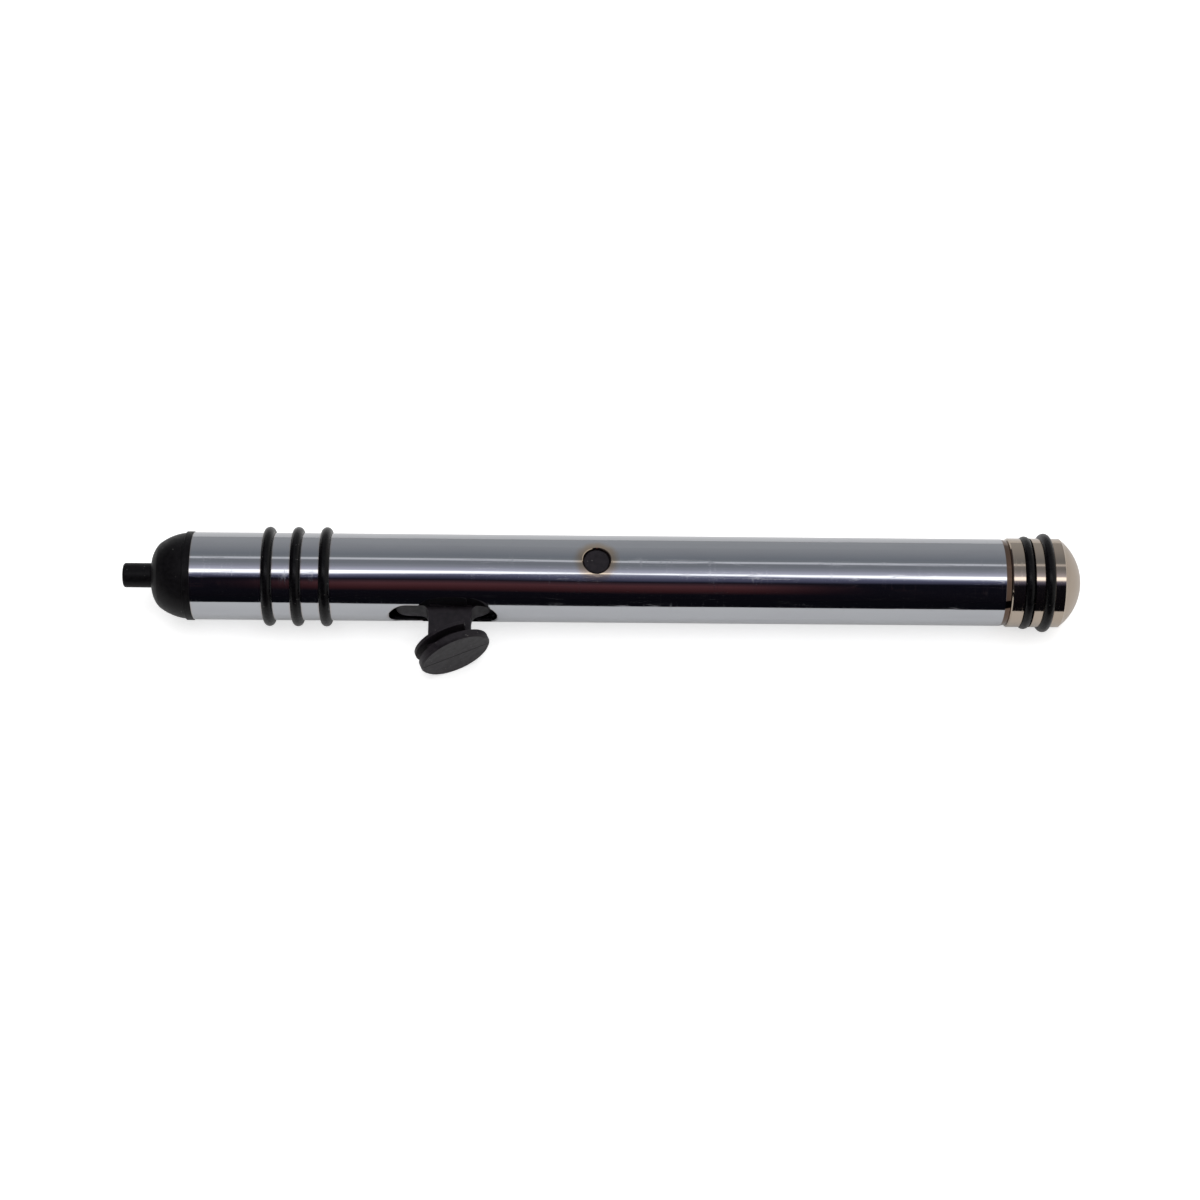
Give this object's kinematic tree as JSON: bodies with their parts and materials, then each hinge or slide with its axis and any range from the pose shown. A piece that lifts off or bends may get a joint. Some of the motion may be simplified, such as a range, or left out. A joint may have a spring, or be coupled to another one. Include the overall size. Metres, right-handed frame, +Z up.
{
  "type": "vacuum pick up pen",
  "caption": "Slim metal pen with a lever button that squeezes a rubber bulb inside, a nozzle for suction needles at the tip, rubber grip rings and a domed pull-off cap.",
  "frame": {"origin": "centre of the nozzle's mouth, on the pen's axis", "axes": "+X along the pen from the nozzle to the cap, +Z up as the pen lies at rest on its rings and the button's rim, -Y the side that the button is on"},
  "size_m": [0.1426, 0.0221, 0.0148],
  "materials": {
    "chrome_plate": "bright plated, lightly scratched",
    "nickel_plate": "warm nickel plate, polished sides and satin dome",
    "turned_brass": "turned",
    "bulb_rubber": "matte soft rubber",
    "ring_rubber": "smooth rubber with a soft sheen",
    "black_nose": "matte conductive rubber",
    "black_moulding": "fine grained moulded plastic"
  },
  "bodies": {
    "barrel": {"barrel_tube": "chrome_plate", "nose_cone": "black_nose", "bulb_connector": "turned_brass", "suction_bulb": "bulb_rubber", "pivot_pin": "black_moulding", "handle_plug": "black_moulding", "grip_ring_1": "ring_rubber", "grip_ring_2": "ring_rubber", "grip_ring_3": "ring_rubber"},
    "lever": {"lever": "black_moulding"},
    "cap": {"end_cap": "nickel_plate", "cap_ring_1": "ring_rubber", "cap_ring_2": "ring_rubber", "cap_friction_ring": "ring_rubber"}
  },
  "joints": [
    {"name": "lever_press", "type": "hinge", "parent": "barrel", "child": "lever", "pos_m": [0.0701, 0, 0], "axis": [0, 0.1655, -0.9862], "range_deg": [0, 6], "stiffness_Nm_per_rad": 0.12, "springref_deg": -8.59, "deforming": ["suction_bulb"]},
    {"name": "cap_pull", "type": "slide", "parent": "barrel", "child": "cap", "axis": [1, 0, 0], "range_m": [0, 0.012]}
  ]
}
